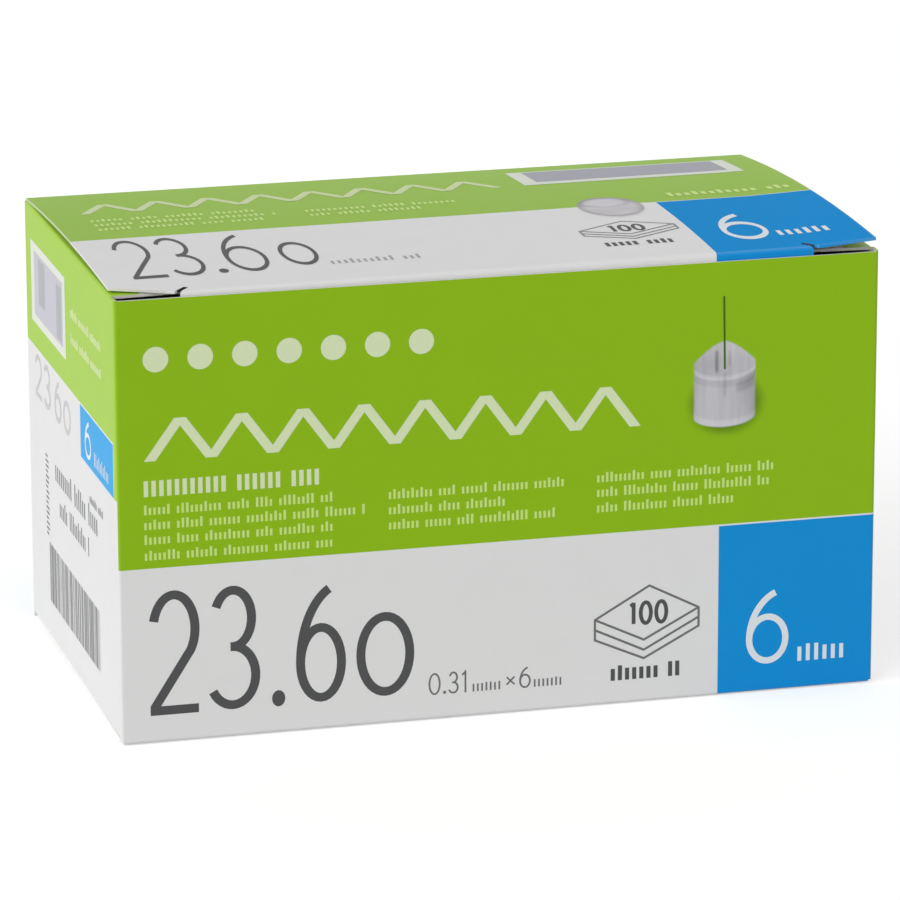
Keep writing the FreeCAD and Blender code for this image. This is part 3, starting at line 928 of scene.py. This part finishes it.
def seal_finish(name, tint):
    recipe = Recipe(name)
    fibre = recipe.noise(0.2, 4.0, (4, 1, 1))
    base = recipe.toned(tint, 0.93 + 0.12 * fibre)
    return recipe.finish(base, 0.62 + 0.1 * fibre, fibre, 0.02)


pod_plastic = pod_finish()
seal_paper = seal_finish("seal_paper", screen(238, 238, 234))
seal_blue = seal_finish("seal_blue", blue)

# %% [markdown]
# The rings of one pod are joined by faces, and each face is given plastic, paper or the blue ring of the
# seal. The pull tab is a thin plate that lies on the seal.

# %% One pod
pod_sides = 48
plastic_kind = 0
paper_kind = 1
ring_kind = 2
seal_level = 24.32
tab_top = 24.5


def pod_ring(radius, level, rib=0.0):
    """One ring of a pod: four points for each of the twelve ribs, the middle two swelled outwards."""
    ring = []
    for i in range(pod_sides):
        swell = rib if i % 4 in (1, 2) else 0.0
        turn = 2 * math.pi * (i + 0.5) / pod_sides
        ring.append(((radius + swell) * math.cos(turn), (radius + swell) * math.sin(turn), level))
    return ring


def pod_shape():
    """Corners, faces and the finish number of each face of one pod, standing at the origin."""
    rings = [pod_ring(5.4, 0.35), pod_ring(6.2, 0.0), pod_ring(6.62, 0.35), pod_ring(6.68, 1.6),
             pod_ring(6.66, 2.2, 0.22), pod_ring(7.12, 15.4, 0.24), pod_ring(7.2, 16.2),
             pod_ring(7.42, 22.4), pod_ring(7.62, 23.0), pod_ring(8.25, 23.15), pod_ring(8.4, 23.35),
             pod_ring(8.4, 24.0), pod_ring(8.28, 24.2), pod_ring(8.1, 24.2)]
    seal = [pod_ring(8.1, seal_level), pod_ring(7.0, seal_level), pod_ring(6.2, seal_level)]
    corners = [(0, 0, 0.5)]
    faces = []
    kinds = []
    ring_kinds = [plastic_kind] * len(rings) + [paper_kind, paper_kind, ring_kind]
    for number, ring in enumerate(rings + seal):
        start = len(corners)
        corners += ring
        for i in range(pod_sides):
            after = (i + 1) % pod_sides
            if number == 0:
                faces.append((0, start + after, start + i))
            else:
                below = start - pod_sides
                faces.append((below + i, below + after, start + after, start + i))
            kinds.append(ring_kinds[number])
    start = len(corners) - pod_sides
    corners.append((0, 0, seal_level))
    for i in range(pod_sides):
        faces.append((start + i, start + (i + 1) % pod_sides, len(corners) - 1))
        kinds.append(paper_kind)
    tab_flat = [(-2.2, -7.6), (2.2, -7.6), (2.6, -4.0), (2.0, -1.6),
                (0.0, -0.8), (-2.0, -1.6), (-2.6, -4.0)]
    start = len(corners)
    corners += [(u, v, seal_level + 0.01) for u, v in tab_flat]
    corners += [(u, v, tab_top) for u, v in tab_flat]
    count = len(tab_flat)
    faces.append(tuple(start + count + i for i in range(count)))
    kinds.append(paper_kind)
    for i in range(count):
        after = (i + 1) % count
        faces.append((start + i, start + after, start + count + after, start + count + i))
        kinds.append(paper_kind)
    return corners, faces, kinds


print("one pod has", len(pod_shape()[1]), "faces")

# %% [markdown]
# The seats are read from the CAD solids, so every pod stands where its solid does. A layer's solids share
# one mesh, so its loose parts are told apart by the edges that join their corners.

# %% Seats of the pods
def pod_seats(node):
    """Middle of the foot of every solid in a CAD layer, from its loose parts."""
    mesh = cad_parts[node].data
    home = list(range(len(mesh.vertices)))

    def root(i):
        while home[i] != i:
            home[i] = home[home[i]]
            i = home[i]
        return i

    spots = {}
    for vertex in mesh.vertices:
        spots.setdefault(tuple(round(c, 6) for c in vertex.co), vertex.index)
    for vertex in mesh.vertices:
        home[root(vertex.index)] = root(spots[tuple(round(c, 6) for c in vertex.co)])
    for line in mesh.edges:
        home[root(line.vertices[0])] = root(line.vertices[1])
    groups = {}
    for vertex in mesh.vertices:
        groups.setdefault(root(vertex.index), []).append(vertex.co)
    seats = []
    for points in groups.values():
        lows = [min(p[k] for p in points) for k in range(3)]
        highs = [max(p[k] for p in points) for k in range(3)]
        seats.append(((lows[0] + highs[0]) / 2, (lows[1] + highs[1]) / 2, lows[2]))
    return sorted(seats)


print("seats in the lowest layer:", len(pod_seats("needle_pods_layer_1")))

# %% [markdown]
# A pod is set down on each seat, turned at random as if packed by hand. Each layer stays one mesh, because
# its pods rest and move together.

# %% Layers of pods
def pod_layer(number):
    node = "needle_pods_layer_%d" % number
    corners, faces, kinds = pod_shape()
    all_corners = []
    all_faces = []
    all_kinds = []
    turns = random.Random(100 + number)
    seats = pod_seats(node)
    for seat_x, seat_y, seat_z in seats:
        start = len(all_corners)
        turn = turns.uniform(0, 2 * math.pi)
        c = math.cos(turn) * MM
        s = math.sin(turn) * MM
        for x, y, z in corners:
            all_corners.append((seat_x + x * c - y * s, seat_y + x * s + y * c, seat_z + z * MM))
        all_faces += [tuple(start + i for i in face) for face in faces]
        all_kinds += kinds
    finishes = [pod_plastic, seal_paper, seal_blue]
    piece = new_piece("sealed_pods_%d" % number, all_corners, all_faces, finishes)
    mesh = piece.data
    mesh.polygons.foreach_set("material_index", all_kinds)
    mesh.polygons.foreach_set("use_smooth", [True] * len(all_faces))
    mesh.set_sharp_from_angle(angle=math.radians(35))
    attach(piece, "carton")
    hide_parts(node)
    print(piece.name, "holds", len(seats), "pods with", len(all_faces), "faces")


for layer_number in (1, 2, 3):
    pod_layer(layer_number)

# %% [markdown]
# ## The folded leaflet
#
# The leaflet is one long sheet folded back and forth into a flat pad. Its section is drawn as a thin line
# that turns back at each end, then pushed up to the leaflet's height, so the folds show at its edges.

# %% Leaflet
def leaflet_finish():
    recipe = Recipe("leaflet_paper")
    fibre = recipe.noise(0.2, 4.0, (3, 1, 3))
    base = recipe.toned(screen(240, 239, 234), 0.92 + 0.12 * fibre)
    return recipe.finish(base, 0.78 + 0.1 * fibre, fibre, 0.02)


def folded_leaflet():
    low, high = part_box("instruction_leaflet")
    layers = 8
    pitch = (high.y - low.y) / layers
    sheet = 0.09 * MM
    slack = random.Random(7)
    most_slack = 0.5
    turn_steps = 6
    line = []
    for layer in range(layers):
        y = low.y + pitch * (layer + 0.5)
        left = low.x + pitch / 2 + slack.uniform(0, most_slack) * MM
        right = high.x - pitch / 2 - slack.uniform(0, most_slack) * MM
        ends = [(left, y), (right, y)] if layer % 2 == 0 else [(right, y), (left, y)]
        if layer:
            out = 1 if layer % 2 == 1 else -1
            turn_x = line[-1][0]
            ends[0] = (turn_x, y)
            for i in range(1, turn_steps):
                t = math.radians(-90 + 180 * i / turn_steps)
                bulge = out * pitch / 2 * math.cos(t)
                line.append((turn_x + bulge, y - pitch / 2 + pitch / 2 * math.sin(t)))
        line += ends
    sides = []
    for sign in (1, -1):
        side = []
        for i, (x, y) in enumerate(line):
            before = line[max(i - 1, 0)]
            after = line[min(i + 1, len(line) - 1)]
            dx = after[0] - before[0]
            dy = after[1] - before[1]
            reach = math.hypot(dx, dy)
            side.append((x - sign * dy / reach * sheet / 2, y + sign * dx / reach * sheet / 2))
        sides.append(side)
    count = len(line)
    corners = []
    for level in (low.z, high.z):
        for side in sides:
            corners += [(x, y, level) for x, y in side]
    a, b, c, d = 0, count, 2 * count, 3 * count
    faces = []
    for i in range(count - 1):
        faces.append((a + i + 1, a + i, c + i, c + i + 1))
        faces.append((b + i, b + i + 1, d + i + 1, d + i))
        faces.append((c + i, d + i, d + i + 1, c + i + 1))
        faces.append((a + i, a + i + 1, b + i + 1, b + i))
    faces.append((a, b, d, c))
    faces.append((b + count - 1, a + count - 1, c + count - 1, d + count - 1))
    piece = new_piece("folded_leaflet", corners, faces, [leaflet_finish()])
    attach(piece, "carton")
    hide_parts("instruction_leaflet")
    print("leaflet of", layers, "layers,", len(faces), "faces")


folded_leaflet()

# %% [markdown]
# ## Floor, light and camera
#
# The photo is a product shot on white. The floor is pale, and a part of its light is shown only to the
# camera, so it looks white while the carton still leaves a soft shadow on it. A wide soft lamp comes from
# the left and front, and the sky is an even white.

# %% Floor and world
full_white = (1, 1, 1, 1)
floor_grey = (0.8, 0.8, 0.8)
floor_glow = 0.47
floor_reach = 6.0
floor_drop = 0.2
sky_light = 0.52


def seen_directly(recipe):
    """1 for rays of the camera, of gloss and of glass."""
    rays = [recipe.step("ShaderNodeLightPath", take=name)
            for name in ("Is Camera Ray", "Is Glossy Ray", "Is Transmission Ray")]
    return recipe.larger(recipe.larger(rays[0], rays[1]), rays[2])


def floor_finish():
    recipe = Recipe("pale_floor")
    glow_strength = seen_directly(recipe) * floor_glow
    matt = recipe.step("ShaderNodeBsdfDiffuse", {}, {"Color": colour(floor_grey)})
    glow = recipe.step("ShaderNodeEmission", {}, {"Color": full_white, "Strength": glow_strength})
    recipe.step_out(recipe.step("ShaderNodeAddShader", {}, {0: matt, 1: glow}))
    return recipe.material


floor_corners = [(-floor_reach, -floor_reach, 0), (floor_reach, -floor_reach, 0),
                 (floor_reach, floor_reach, 0), (-floor_reach, floor_reach, 0)]
floor = new_piece("floor", floor_corners, [(0, 1, 2, 3)], [floor_finish()])
floor.location.z = -floor_drop * MM

world = bpy.data.worlds.new("studio_sky")
world.use_nodes = True
bpy.context.scene.world = world
sky = Recipe("sky_recipe")
sky.tree = world.node_tree
sky.tree.nodes.clear()
strength = sky_light + (1 - sky_light) * seen_directly(sky)
backdrop = sky.step("ShaderNodeBackground", {}, {"Color": full_white, "Strength": strength})
world_out = sky.tree.nodes.new("ShaderNodeOutputWorld")
sky.tree.links.new(backdrop.socket, world_out.inputs["Surface"])
bpy.data.materials.remove(sky.material)
print("sky light", sky_light)

# %% [markdown]
# A sun lamp lights all of the carton alike. A spread this wide makes its shadow as soft as a studio's.

# %% The lamp
lamp_from = Vector((-0.84, -0.445, 0.36)).normalized()
lamp_level = 0.508
lamp_spread = 60
lamp_data = bpy.data.lights.new("soft_lamp", "SUN")
lamp_data.energy = lamp_level * math.pi
lamp_data.angle = math.radians(lamp_spread)
lamp = bpy.data.objects.new("soft_lamp", lamp_data)
lamp.rotation_mode = "QUATERNION"
lamp.rotation_quaternion = lamp_from.to_track_quat("Z", "Y")
bpy.context.scene.collection.objects.link(lamp)
print("lamp", round(lamp_data.energy, 2), "from", [round(c, 2) for c in lamp_from])

# %% [markdown]
# The camera stands where the photo was taken from, as worked out from seven corners of the carton. It is in
# front, a little to the left and above, with a long lens.

# %% Camera
camera_spot = Vector((-0.26005, -0.98212, 0.31764))
turn = math.radians(14.891)
dip = math.radians(15.37)
roll = math.radians(-0.168)
look = Vector((math.sin(turn) * math.cos(dip), math.cos(turn) * math.cos(dip), -math.sin(dip)))
level = Vector((math.cos(turn), -math.sin(turn), 0.0))
upright = level.cross(look)
across_view = level * math.cos(roll) + upright * math.sin(roll)
up_view = upright * math.cos(roll) - level * math.sin(roll)
camera_data = bpy.data.cameras.new("camera")
camera_data.lens = 228.3
camera_data.sensor_width = 36.0
camera = bpy.data.objects.new("camera", camera_data)
rows = [(across_view[i], up_view[i], -look[i], camera_spot[i]) for i in range(3)]
camera.matrix_world = Matrix(rows + [(0, 0, 0, 1)])
bpy.context.scene.collection.objects.link(camera)
bpy.context.scene.camera = camera
bpy.context.scene.view_settings.view_transform = "Standard"
print("camera at", [round(c, 3) for c in camera.location])
